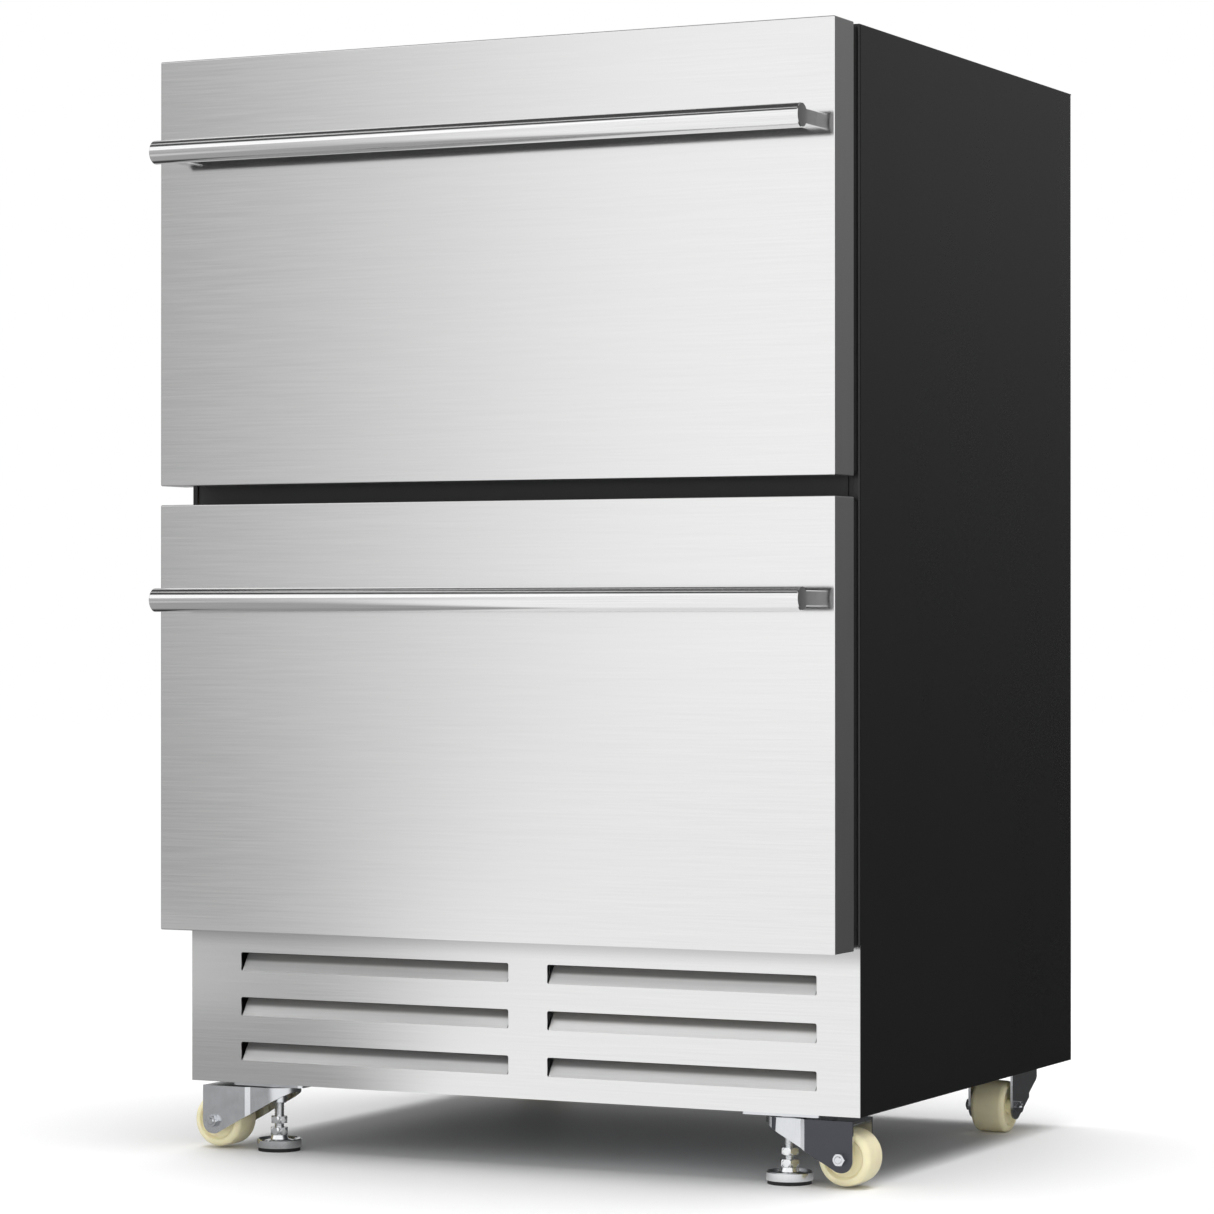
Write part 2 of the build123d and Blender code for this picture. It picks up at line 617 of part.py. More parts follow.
def middle_rails(drawer):
    web, inward, outward, half = MIDDLE_SLIDE
    y = (RAIL_FRONT, RAIL_BACK)
    rail = channel(web, inward, half, y, drawer["rail"])
    return mirrored(rail + channel(web, outward, half, y, drawer["rail"]))


def drawer_rails(drawer):
    return mirrored(channel(*DRAWER_SLIDE, (DYKE_BACK, RAIL_BACK - 4.0), drawer["rail"]))


# ---- casters ----------------------------------------------------------------------------
def placed(solid, caster):
    """Caster piece built about its swivel axis with the wheel towards +X, put in place."""
    return Pos(*caster["at"], 0) * Rot(0, 0, caster["turn"]) * solid


def fork_plan(inset):
    """Plan of the fork: round housing, then a step out to the two flat cheeks."""
    r = HOUSING_RADIUS - inset
    c = CHEEK_HALF - inset
    x0 = CHEEK_START - 4.0
    one_side = ((0, r), (x0, r), (CHEEK_START, c), (CHEEK_END, c))
    other_side = [(x, -y) for x, y in reversed(one_side)]
    return make_face(Polyline(*one_side, *other_side) + ThreePointArc((0, -r), (-r, 0), (0, r)))


def fork_side(axle):
    """Side view of the fork: slanted under the housing, rounded about the axle."""
    def about_axle(degrees):
        angle = radians(degrees)
        return (TRAIL + CHEEK_FOOT_RADIUS * cos(angle), axle + CHEEK_FOOT_RADIUS * sin(angle))

    start = about_axle(CHEEK_SLOPE)
    bottom = about_axle(270.0)
    outer = (CHEEK_END, axle)
    rim = (-HOUSING_RADIUS, FORK_TOP - 3.0)
    lines = Polyline(outer, (CHEEK_END, FORK_TOP), (-HOUSING_RADIUS, FORK_TOP), rim, start)
    foot = ThreePointArc(start, about_axle((CHEEK_SLOPE + 270.0) / 2), bottom)
    heel = Spline(bottom, about_axle(315.0), outer, tangents=((1, 0), (0, 1)))
    return Plane.XZ * make_face(lines + foot + heel)


def fork(axle):
    """Pressed swivel fork: top plate, housing wall and two cheeks with axle holes."""
    gap = CHEEK_HALF - FORK_SHEET
    solid = extrude(fork_plan(0.0), FORK_TOP) - extrude(fork_plan(FORK_SHEET), FORK_ROOF)
    solid -= block((CHEEK_END - FORK_SHEET - 0.1, CHEEK_END + 1), (-gap, gap), (0.0, FORK_ROOF))
    solid &= extrude(fork_side(axle), CHEEK_HALF, both=True)
    solid -= rod_z(KINGPIN_RADIUS + RUN_GAP, 0, 0, (FORK_ROOF - 1, FORK_TOP + 1))
    return solid - rod_y(AXLE_RADIUS, TRAIL, (-CHEEK_HALF - 1, CHEEK_HALF + 1), axle)


def wheel(axle):
    """Nylon wheel with rounded shoulders, a dished side and a long hub."""
    half = WHEEL_WIDTH / 2
    hub = 6.5
    hub_half = CHEEK_HALF - FORK_SHEET - 0.4
    dish = half - 2.5
    bore = AXLE_RADIUS + RUN_GAP
    rim = (WHEEL_RADIUS - 4.0, half)
    shoulder = (WHEEL_RADIUS - 1.4, half - 1.5)
    tread = (WHEEL_RADIUS - 0.3, half - 5.0)
    side = ((bore, hub_half), (hub, hub_half), (hub, dish), (14.5, dish), (16.5, half), rim)
    upper = Polyline(*side) + ThreePointArc(rim, shoulder, tread)
    crown = ThreePointArc(tread, (WHEEL_RADIUS, 0), (tread[0], -tread[1]))
    lower = mirror(upper, Plane.XZ)
    closing = Line((bore, -hub_half), (bore, hub_half))
    solid = revolve(make_face(upper + crown + lower + closing), Axis.Y)
    return Pos(TRAIL, 0, axle) * solid


def axle_bolt(axle):
    """Axle with a chamfered hexagon nut outside each cheek."""
    bolt = rod_y(AXLE_RADIUS, TRAIL, (-CHEEK_HALF - 5.5, CHEEK_HALF + 5.5), axle)
    bolt = chamfer(bolt.edges().filter_by(GeomType.CIRCLE), 0.6)
    for y in ((-CHEEK_HALF - 4.5, -CHEEK_HALF), (CHEEK_HALF, CHEEK_HALF + 4.5)):
        nut = hex_y(9.0, TRAIL, y, axle) & chamfer(rod_y(5.15, TRAIL, y, axle).edges(), 0.6)
        bolt += nut
    return bolt


def caster_plate(caster):
    """Mounting plate with its bearing ring and kingpin, hollow where a foot passes."""
    thick = PLATE_SIZE[2]
    plate = fillet(Box(*PLATE_SIZE).edges().filter_by(Axis.Z), 4.0)
    plate = Pos(0, 0, PLATE_BOTTOM + thick / 2) * plate
    for dx, dy in PLATE_SCREWS:
        plate -= Pos(dx, dy, PLATE_BOTTOM + 1.0) * Cone(4.5, SCREW_RADIUS, 2.0)
        plate -= rod_z(SCREW_RADIUS, dx, dy, (PLATE_BOTTOM, PLATE_BOTTOM + thick))
    plate += rod_z(BEARING_RADIUS, 0, 0, (FORK_TOP + RUNNING_PLAY, PLATE_BOTTOM))
    under = FORK_ROOF - RUNNING_PLAY
    pin_bottom = 39.0 if caster["foot"] else under - 4.0
    collar = rod_z(COLLAR_RADIUS, 0, 0, (under - COLLAR_HEIGHT, under))
    collar = fillet(collar.edges().group_by(Axis.Z)[0], 0.8)
    pin = rod_z(KINGPIN_RADIUS, 0, 0, (pin_bottom, PLATE_BOTTOM + 0.1))
    plate = plate + collar + chamfer(pin.edges().group_by(Axis.Z)[0], 0.6)
    if caster["foot"]:
        plate -= rod_z(STEM_RADIUS + RUN_GAP, 0, 0, (0.0, TRAY_TOP))
    return Pos(*caster["at"], 0) * plate


def foot_stem(caster):
    """Threaded stem with its adjusting hexagon and lock nut."""
    x, y = caster["at"]
    stem = rod_z(STEM_RADIUS, x, y, (8.0, STEM_TOP))
    stem = chamfer(stem.edges().group_by(Axis.Z)[-1], 0.8)
    for flats, z in ((14.0, (13.0, 19.0)), (13.0, (22.5, 28.0))):
        nut = hex_z(flats, x, y, z)
        stem += nut & chamfer(rod_z(flats * 0.572, x, y, z).edges(), 0.7)
    return stem


def foot_pad(caster):
    """Dished pad with an upturned rim, a ball neck and a rubber-faced underside."""
    x, y = caster["at"]
    r = FOOT_RADIUS
    socket = STEM_RADIUS + RUN_GAP
    sole = ((0, 0), (r - 1.0, 0), (r - 1.0, 2.6), (r, 3.0))
    rim = ((r, 9.0), (r - 0.8, 9.8), (r - 1.6, 9.0), (r - 2.6, 7.6))
    neck = ((7.5, 9.4), (6.5, FOOT_HEIGHT), (socket, FOOT_HEIGHT), (socket, 7.9), (0, 7.9))
    profile = Polyline(*sole, *rim, *neck, close=True)
    return Pos(x, y, 0) * revolve(Plane.XZ * make_face(profile), Axis.Z)


# ---- all pieces -------------------------------------------------------------------------
def build_cabinet():
    right_panel = side_panel()
    save("side_panel_right", right_panel)
    save("side_panel_left", mirror(right_panel, Plane.YZ))
    save("top_panel", top_panel())
    save("back_panel", back_panel())
    save("rear_vent_cover", rear_vent_cover())
    save("base_tray", base_tray())
    save("kick_plate", kick_plate())
    save("inner_liner", inner_liner())
    save("foam_insulation", foam_insulation())
    save("mullion", mullion())
    save("fasteners", *fasteners())
    save("fixed_rails", *fixed_rails())
    save("caster_plates", *[caster_plate(caster) for caster in CASTERS.values()])


def build_cooling():
    save("compressor", compressor())
    save("condenser", finned_coil(**CONDENSER))
    save("condenser_fan_shroud", condenser_fan_shroud())
    save("condenser_fan", condenser_fan())
    save("refrigerant_tubes", *refrigerant_tubes())
    save("evaporator", finned_coil(**EVAPORATOR))
    save("evaporator_cover", evaporator_cover())
    save("evaporator_fan", evaporator_fan())
    save("power_inlet", power_inlet())
    save("control_panel", control_panel())
    save("led_light", led_light())
    for name, x in BUTTON_X.items():
        save(name, button(x))


def build_drawers():
    for name, drawer in DRAWERS.items():
        bottom = drawer["front"]
        handle_z = bottom + FRONT_HEIGHT - HANDLE_DROP
        save(name + "_front_skin", front_skin(bottom))
        save(name + "_front_foam", front_foam(bottom))
        save(name + "_front_liner", front_liner(bottom, drawer["dyke"]))
        save(name + "_gasket", gasket(drawer["gasket"]))
        save(name + "_handle_bar", handle_bar(handle_z))
        save(name + "_handle_posts", *handle_posts(handle_z))
        save(name + "_bin", storage_bin(drawer))
        save(name + "_drawer_rails", *drawer_rails(drawer))
        save(name + "_middle_rails", *middle_rails(drawer))


def build_casters():
    for name, caster in CASTERS.items():
        axle = caster["axle"]
        save(name + "_fork", placed(fork(axle), caster))
        save(name + "_wheel", placed(wheel(axle), caster))
        save(name + "_axle", placed(axle_bolt(axle), caster))
        if caster["foot"]:
            save(name + "_foot_stem", foot_stem(caster))
            save(name + "_foot_pad", foot_pad(caster))


os.makedirs("parts", exist_ok=True)
build_cabinet()
build_cooling()
build_drawers()
build_casters()
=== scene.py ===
import json
from math import cos, pi, radians, sin

import bpy
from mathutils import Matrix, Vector


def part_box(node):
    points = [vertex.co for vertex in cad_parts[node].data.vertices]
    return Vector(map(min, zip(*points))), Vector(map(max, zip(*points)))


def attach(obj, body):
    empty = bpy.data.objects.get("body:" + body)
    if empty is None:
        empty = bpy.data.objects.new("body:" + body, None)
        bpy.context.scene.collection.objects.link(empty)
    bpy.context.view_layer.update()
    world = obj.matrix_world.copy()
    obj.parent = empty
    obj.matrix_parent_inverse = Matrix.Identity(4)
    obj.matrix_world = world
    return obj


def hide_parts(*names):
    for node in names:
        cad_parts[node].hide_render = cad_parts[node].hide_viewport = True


# Looks of the two-drawer undercounter refrigerator: finishes for every CAD node, threaded
# levelling stems and other fine pieces, a pale studio and the camera. Metres, +Z up.

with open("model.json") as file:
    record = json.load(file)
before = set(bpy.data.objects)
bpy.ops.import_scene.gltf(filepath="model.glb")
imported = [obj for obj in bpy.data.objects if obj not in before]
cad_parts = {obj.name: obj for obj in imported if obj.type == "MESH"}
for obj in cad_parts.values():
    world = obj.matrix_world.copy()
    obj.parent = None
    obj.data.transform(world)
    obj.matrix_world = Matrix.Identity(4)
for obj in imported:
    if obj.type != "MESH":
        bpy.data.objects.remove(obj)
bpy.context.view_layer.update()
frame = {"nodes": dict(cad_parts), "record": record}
MM = 0.001


# ---- building blocks of node trees --------------------------------------------------------
class Tree:
    """Short calls to add nodes to a tree and to join them."""

    def __init__(self, tree):
        self.tree = tree

    def node(self, kind, inputs=(), **settings):
        """Adds a node; an input is either a plain value or another node's output."""
        made = self.tree.nodes.new("ShaderNode" + kind)
        for key, value in settings.items():
            setattr(made, key, value)
        for key, value in dict(inputs).items():
            if isinstance(value, bpy.types.NodeSocket):
                self.tree.links.new(value, made.inputs[key])
            else:
                made.inputs[key].default_value = value
        return made

    def math(self, operation, a, b=0.0):
        return self.node("Math", {0: a, 1: b}, operation=operation).outputs[0]

    def step(self, value, start, end, low=0.0, high=1.0):
        """Smooth step from low to high as the value goes from start to end."""
        inputs = {0: value, 1: start, 2: end, 3: low, 4: high}
        return self.node("MapRange", inputs, interpolation_type="SMOOTHSTEP").outputs[0]

    def window(self, value, start, end, soft):
        """1 between start and end, falling to 0 over the soft width at each side."""
        rising = self.step(value, start - soft / 2, start + soft / 2)
        falling = self.step(value, end - soft / 2, end + soft / 2, 1.0, 0.0)
        return self.math("MULTIPLY", rising, falling)

    def mix(self, a, share_a, b, share_b):
        """Sum of two values, each times its share."""
        part_a = self.math("MULTIPLY", a, share_a)
        return self.math("ADD", part_a, self.math("MULTIPLY", b, share_b))

    def total(self, parts):
        result = parts[0]
        for part in parts[1:]:
            result = self.math("ADD", result, part)
        return result


class Finish(Tree):
    """A procedural material around one Principled shader. Positions come in metres."""

    def __init__(self, name, color, metallic=0.0, roughness=0.4, **sockets):
        self.material = bpy.data.materials.new(name)
        self.material.use_nodes = True
        self.material.diffuse_color = (*color, 1.0)
        super().__init__(self.material.node_tree)
        self.shader = self.tree.nodes["Principled BSDF"]
        self.color = color
        self.shader.inputs["Base Color"].default_value = (*color, 1.0)
        self.shader.inputs["Metallic"].default_value = metallic
        self.shader.inputs["Roughness"].default_value = roughness
        for socket, value in sockets.items():
            self.shader.inputs[socket.replace("_", " ")].default_value = value
        self.height = None

    def place(self, stretch=(1.0, 1.0, 1.0)):
        """Position on the object, scaled along each axis."""
        where = self.node("TexCoord").outputs["Object"]
        return self.node("Mapping", {"Vector": where, "Scale": stretch}).outputs[0]

    def noise(self, stretch, detail=3.0, rough=0.55):
        """Noise from 0 to 1 with that many features per metre along each axis."""
        inputs = {"Vector": self.place(stretch), "Scale": 1.0, "Detail": detail, "Roughness": rough}
        return self.node("TexNoise", inputs).outputs["Fac"]

    def cells(self, scale, output="Color"):
        inputs = {"Vector": self.place(), "Scale": scale}
        return self.node("TexVoronoi", inputs).outputs[output]

    def span(self, value, low, high, start=0.3, end=0.7):
        """Value stretched so that start gives low and end gives high."""
        inputs = {"Value": value, "From Min": start, "From Max": end, "To Min": low, "To Max": high}
        return self.node("MapRange", inputs).outputs[0]

    def blend(self, factor, a, b):
        """Number between a and b."""
        inputs = {0: factor, 2: a, 3: b}
        return self.node("Mix", inputs, data_type="FLOAT").outputs[0]

    def tint(self, factor, dark, light):
        """Base colour that goes between two multiples of the finish's own colour."""
        inputs = {0: factor, 6: self.shade(dark), 7: self.shade(light)}
        mixed = self.node("Mix", inputs, data_type="RGBA").outputs[2]
        self.tree.links.new(mixed, self.shader.inputs["Base Color"])

    def shade(self, times):
        return (*[channel * times for channel in self.color], 1.0)

    def rough(self, value):
        self.tree.links.new(value, self.shader.inputs["Roughness"])

    def bump(self, height, depth, strength=1.0):
        """Relief of that depth in metres, laid over any earlier one."""
        inputs = {"Height": height, "Distance": depth, "Strength": strength}
        if self.height is not None:
            inputs["Normal"] = self.height
        self.height = self.node("Bump", inputs).outputs[0]
        self.tree.links.new(self.height, self.shader.inputs["Normal"])

    def facing_side(self):
        """1 on faces that look along X, 0 elsewhere."""
        normal = self.node("NewGeometry").outputs["True Normal"]
        x = self.node("SeparateXYZ", {0: normal}).outputs[0]
        return self.math("GREATER_THAN", self.math("ABSOLUTE", x), 0.75)


# ---- finishes -----------------------------------------------------------------------------
def brushed_front(name="brushed_front", shade_band=None):
    """Stainless sheet, brushed across the front and up and down its folded sides, which are painted
    darker as shade.

    Between the two heights of its last argument the colour gets darker upwards: painted shade under
    what overhangs the sheet."""
    f = Finish(name, (0.80, 0.80, 0.80), metallic=1.0, roughness=0.13)
    side = f.facing_side()
    fine = f.blend(side, f.noise((15, 1000, 1000), 4), f.noise((1000, 1000, 15), 4))
    broad = f.blend(side, f.noise((4, 120, 120), 2), f.noise((120, 120, 4), 2))
    grain = f.mix(fine, 0.8, broad, 0.2)
    # Painted shade: the folded sides take a far darker colour than the front. The grain is the
    # sheet's own.
    grain_and_painted_shade = f.blend(side, f.span(grain, 0.84, 1.0), f.span(grain, 0.08, 0.2))
    if shade_band:
        # Painted shade: the colour darkens towards the top of the band.
        height = f.node("SeparateXYZ", {0: f.place()}).outputs[2]
        grain_and_painted_shade = f.math("MULTIPLY", grain_and_painted_shade, f.step(height, *shade_band, 1.0, 0.0))
    f.tint(grain_and_painted_shade, 0.66, 1.035)
    f.rough(f.blend(side, f.span(fine, 0.11, 0.15), f.span(fine, 0.36, 0.42)))
    f.bump(fine, 0.000002, 0.5)
    return f


def louvre_steel(top=0.1633, pitch=0.0366, shade_fades=0.0055, clear=0.0085):
    """The sheet where it was bent into louvres: duller, and with painted shade in its upper, inner
    half.

    Rows of louvres repeat downwards from top by pitch. Under the top of each row the painted shade
    starts to thin out at the third argument's distance and is gone at the fourth's."""
    f = Finish("louvre_steel", (0.93, 0.93, 0.93), metallic=0.55, roughness=0.3)
    fine = f.noise((15, 1000, 1000), 4)
    height = f.node("SeparateXYZ", {0: f.place()}).outputs[2]
    depth = f.math("SUBTRACT", top, height)
    below_row = f.node("Math", {0: depth, 1: pitch, 2: 0.0}, operation="WRAP").outputs[0]
    # Painted shade: dark near the top of each row, lighter further down.
    unshaded = f.step(below_row, shade_fades, clear, 0.12, 0.94)
    f.tint(f.math("ADD", unshaded, f.span(fine, 0, 0.06)), 0.35, 1.03)
    f.rough(f.span(fine, 0.28, 0.32))
    f.bump(fine, 0.0000005, 0.5)
    return f


def brushed_bar():
    """Handle tube, polished along its length."""
    f = Finish("brushed_bar", (0.84, 0.84, 0.84), metallic=1.0, roughness=0.12)
    fine = f.noise((14, 1800, 1800), 3)
    f.tint(f.span(fine, 0, 1), 0.93, 1.03)
    f.rough(f.span(fine, 0.10, 0.14))
    f.bump(fine, 0.000003, 0.4)
    return f


def shaded_bar_back():
    """Rear half of the handle tube, made dull and dark as painted shade, so that the front beneath
    mirrors it as a dark band.
    """
    f = Finish("shaded_bar_back", (0.10, 0.10, 0.10), metallic=1.0, roughness=0.4)
    scale = f.noise((20, 600, 600), 4)
    f.tint(f.span(scale, 0, 1), 0.8, 1.2)
    f.rough(f.span(scale, 0.34, 0.46))
    f.bump(scale, 0.000006, 0.5)
    return f


def black_paint():
    """Satin powder coat with a fine orange peel."""
    f = Finish("black_paint", (0.0058, 0.0058, 0.0061), roughness=0.3)
    peel = f.noise((700, 700, 700), 2)
    wipe = f.noise((5, 5, 2.5), 3)
    f.tint(f.span(wipe, 0, 1), 0.9, 1.1)
    f.rough(f.span(f.mix(peel, 0.3, wipe, 0.7), 0.26, 0.33))
    f.bump(peel, 0.000012, 0.7)
    return f


def galvanised():
    """Hot-dipped sheet with its spangle."""
    f = Finish("galvanised", (0.56, 0.58, 0.60), metallic=1.0, roughness=0.4)
    spangle = f.node("SeparateColor", {0: f.cells(95.0)}).outputs[0]
    mottle = f.mix(spangle, 0.6, f.noise((40, 40, 40), 4), 0.4)
    f.tint(f.span(mottle, 0, 1, 0.15, 0.85), 0.8, 1.12)
    f.rough(f.span(mottle, 0.3, 0.5, 0.15, 0.85))
    f.bump(mottle, 0.00001, 0.4)
    return f


def moulded(name, color, roughness, grain=900.0, depth=0.00002, vary=0.06, **sockets):
    """Moulded plastic or rubber with a fine eroded texture."""
    f = Finish(name, color, roughness=roughness, **sockets)
    texture = f.noise((grain, grain, grain), 2)
    cloud = f.noise((11, 11, 11), 3)
    f.tint(f.span(cloud, 0, 1), 1.0 - vary, 1.0 + vary)
    f.rough(f.span(texture, roughness - 0.05, roughness + 0.05))
    f.bump(texture, depth, 0.5)
    return f


def zinc_plate(name="zinc_plate", color=(0.74, 0.755, 0.78), roughness=0.2):
    """Bright zinc over pressed steel: soft blotches, fine scratches and a faint blue cast."""
    f = Finish(name, color, metallic=1.0, roughness=roughness)
    blotch = f.noise((90, 90, 90), 4)
    scratch = f.noise((2400, 2400, 130), 3)
    both = f.mix(blotch, 0.6, scratch, 0.4)
    f.tint(f.span(both, 0, 1), 0.93, 1.04)
    f.rough(f.span(both, roughness - 0.04, roughness + 0.06))
    f.bump(both, 0.000008, 0.4)
    return f


def slide_steel():
    """Rolled and passivated slide members, drawn along Y."""
    f = Finish("slide_steel", (0.66, 0.67, 0.69), metallic=1.0, roughness=0.28)
    drawn = f.noise((1400, 12, 1400), 3)
    f.tint(f.span(drawn, 0, 1), 0.88, 1.05)
    f.rough(f.span(drawn, 0.22, 0.34))
    f.bump(drawn, 0.000006, 0.5)
    return f


def nylon():
    """Cream cast nylon: slightly see-through, cloudy and scuffed."""
    f = Finish("cream_nylon", (0.90, 0.83, 0.56), roughness=0.36, Subsurface_Weight=0.25,
               Subsurface_Scale=0.006, Subsurface_Radius=(1.0, 0.75, 0.35))
    cloud = f.noise((60, 60, 60), 4)
    scuff = f.noise((900, 900, 900), 2)
    f.tint(f.span(cloud, 0, 1), 0.93, 1.05)
    f.rough(f.span(scuff, 0.3, 0.46))
    f.bump(scuff, 0.00003, 0.4)
    return f


def copper():
    """Drawn copper tube with patches of tarnish."""
    f = Finish("copper_tube", (0.80, 0.45, 0.30), metallic=1.0, roughness=0.3)
    tarnish = f.noise((45, 45, 45), 5)
    f.tint(f.span(tarnish, 0, 1), 0.6, 1.08)
    f.rough(f.span(tarnish, 0.22, 0.45))
    f.bump(tarnish, 0.00002, 0.4)
    return f


def fin_stock():
    """Thin rolled aluminium of the coils."""
    f = Finish("fin_aluminium", (0.80, 0.81, 0.82), metallic=1.0, roughness=0.35)
    roll = f.noise((900, 900, 20), 3)
    f.tint(f.span(roll, 0, 1), 0.9, 1.04)
    f.rough(f.span(roll, 0.28, 0.42))
    f.bump(roll, 0.00001, 0.5)
    return f


def rigid_foam():
    """Yellowish polyurethane foam with fine closed cells."""
    f = Finish("rigid_foam", (0.78, 0.68, 0.42), roughness=0.85)
    froth = f.cells(700.0, "Distance")
    f.tint(f.noise((30, 30, 30), 3), 0.88, 1.06)
    f.bump(froth, 0.0002, 0.8)
    return f


FINISHES = {
    "front_steel": brushed_front(),
    "handle_steel": brushed_bar(),
    "black_steel": black_paint(),
    "galvanised_steel": galvanised(),
    "black_plastic": moulded("black_plastic", (0.016, 0.016, 0.017), 0.42),
    "gasket_rubber": moulded("gasket_rubber", (0.008, 0.008, 0.008), 0.62, grain=1400.0),
    "liner_plastic": moulded("liner_plastic", (0.80, 0.81, 0.82), 0.3, grain=260.0, depth=0.00003,
                             vary=0.02),
    "foam": rigid_foam(),
    "bin_plastic": moulded("bin_plastic", (0.50, 0.53, 0.56), 0.3, grain=500.0, vary=0.03),
    "slide_steel": slide_steel(),
    "button_plastic": moulded("button_plastic", (0.62, 0.63, 0.65), 0.35),
    "lamp_lens": moulded("lamp_lens", (0.93, 0.94, 0.9), 0.22, grain=300.0, depth=0.00006),
    "compressor_black": moulded("compressor_black", (0.012, 0.012, 0.013), 0.24, grain=240.0),
    "copper_tube": copper(),
    "coil_aluminium": fin_stock(),
    "zinc_steel": zinc_plate(),
    "wheel_nylon": nylon(),
}
CHROME = zinc_plate("bright_chrome", (0.84, 0.85, 0.86), 0.12)
# Zinc darkened as a painted dark reflection, for one caster cheek only.
SHADED_ZINC = zinc_plate("zinc_painted_shade", (0.085, 0.087, 0.10), 0.34)
# Kick plate with painted shade along its top, under the drawers.
KICK_STEEL = brushed_front("kick_steel", shade_band=(0.166, 0.182))
LOUVRE = louvre_steel()
SHADED_BAR_BACK = shaded_bar_back()
SAWN_END = zinc_plate("sawn_end", (0.25, 0.25, 0.25), 0.42)
FOOT_RUBBER = moulded("foot_rubber", (0.01, 0.01, 0.01), 0.7, grain=1200.0)
SOLE_HEIGHT = 2.7 * MM
STEM_RADIUS = 4.0 * MM


def paint(node, *finishes, choose=None):
    """Gives a CAD node its finishes; choose says which one each face takes."""
    mesh = frame["nodes"][node].data
    mesh.materials.clear()
    for finish in finishes:
        mesh.materials.append(finish.material)
    for polygon in mesh.polygons:
        polygon.material_index = choose(polygon) if choose else 0


def paint_all():
    """Finish of each node's material slot, then the nodes that take more than one."""
    for part in frame["record"]["subparts"]:
        paint(part["node"], FINISHES[part["material_slot"]])
    for side in ("left", "right"):
        pad = f"front_{side}_foot_pad"
        sole_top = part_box(pad)[0].z + SOLE_HEIGHT
        paint(pad, CHROME, FOOT_RUBBER, choose=lambda face, top=sole_top: int(face.center.z < top))
    paint("kick_plate", KICK_STEEL, LOUVRE,
          choose=lambda face: int(face.normal.y < -0.5 and face.normal.z > 0.4))
    for drawer in ("upper", "lower"):
        # The bar's rear faces take the dark painted-shade finish, and its end faces the sawn end
        # finish.
        paint(f"{drawer}_handle_bar", FINISHES["handle_steel"], SHADED_BAR_BACK, SAWN_END,
              choose=lambda face: 2 if abs(face.normal.x) > 0.9 else int(face.normal.y > 0.3))
        paint(f"{drawer}_handle_posts", FINISHES["handle_steel"], SAWN_END,
              choose=lambda face: int(abs(face.normal.x) > 0.9))
    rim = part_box("inner_liner")[0].y + 1.0 * MM
    paint("inner_liner", FINISHES["liner_plastic"], FINISHES["black_plastic"],
          choose=lambda face: int(face.normal.y < -0.9 and face.center.y < rim))

    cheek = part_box("front_right_fork")[0].y + 0.3 * MM
    swivel_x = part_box("front_right_foot_stem")[0].x + STEM_RADIUS

    def outer_cheek(face):
        in_front = face.center.y < cheek or face.center.x < swivel_x
        return int(face.normal.y < -0.9 and in_front)

    # Painted dark reflection: only the front right fork's outer cheek takes the darkened zinc.
    paint("front_right_fork", FINISHES["zinc_steel"], SHADED_ZINC, choose=outer_cheek)


# ---- fine pieces --------------------------------------------------------------------------
STEM_START = 8.0 * MM  # lower end of the stem above the foot's underside
STEM_NECK = 5.5 * MM
STEM_CHAMFER = 0.8 * MM
THREAD_PITCH = 1.25 * MM
THREAD_DEPTH = 0.62 * MM
# Bottom and top above the foot's underside, and width across flats.
ADJUSTING_NUT = (13.0 * MM, 19.0 * MM, 14.0 * MM)
LOCK_NUT = (22.5 * MM, 28.0 * MM, 13.0 * MM)
NUT_BEVEL = 0.9 * MM


def mesh_piece(name, points, faces, finish, body):
    """New piece with one smooth-shaded mesh that rides on a body."""
    mesh = bpy.data.meshes.new(name)
    mesh.from_pydata(points, [], faces)
    mesh.validate()
    piece = bpy.data.objects.new(name, mesh)
    bpy.context.scene.collection.objects.link(piece)
    mesh.materials.append(finish.material)
    mesh.shade_smooth()
    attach(piece, body)
    return piece


def stacked_rings(centre, levels, steps, radius):
    """Closed surface about a vertical axis: a ring of points at each level."""
    points = []
    for level in levels:
        for step in range(steps):
            angle = 2 * pi * step / steps
            r = radius(level, angle)
            points.append((centre.x + r * cos(angle), centre.y + r * sin(angle), level))
    faces = []
    for ring in range(len(levels) - 1):
        for step in range(steps):
            a = ring * steps + step
            b = ring * steps + (step + 1) % steps
            faces.append((a, b, b + steps, a + steps))
    faces.append(tuple(range(steps))[::-1])
    top = (len(levels) - 1) * steps
    faces.append(tuple(range(top, top + steps)))
    return points, faces


def hexagon_radius(half_flats, corner, angle):
    """Distance from the axis to the side of a hexagon, cut to a circle at its corners."""
    turn = (angle % (pi / 3)) - pi / 6
    return min(half_flats / cos(turn), corner)


def nut(name, centre, bottom, top, flats, body):
    """Hexagon nut with both faces chamfered at the corners."""
    half = flats / 2
    levels = [bottom, bottom + NUT_BEVEL, top - NUT_BEVEL, top]

    def radius(level, angle):
        face = level in (bottom, top)
        return hexagon_radius(half, half * (1.02 if face else 1.16), angle)

    points, faces = stacked_rings(centre, levels, 72, radius)
    piece = mesh_piece(name, points, faces, CHROME, body)
    piece.data.set_sharp_from_angle(angle=radians(28.0))


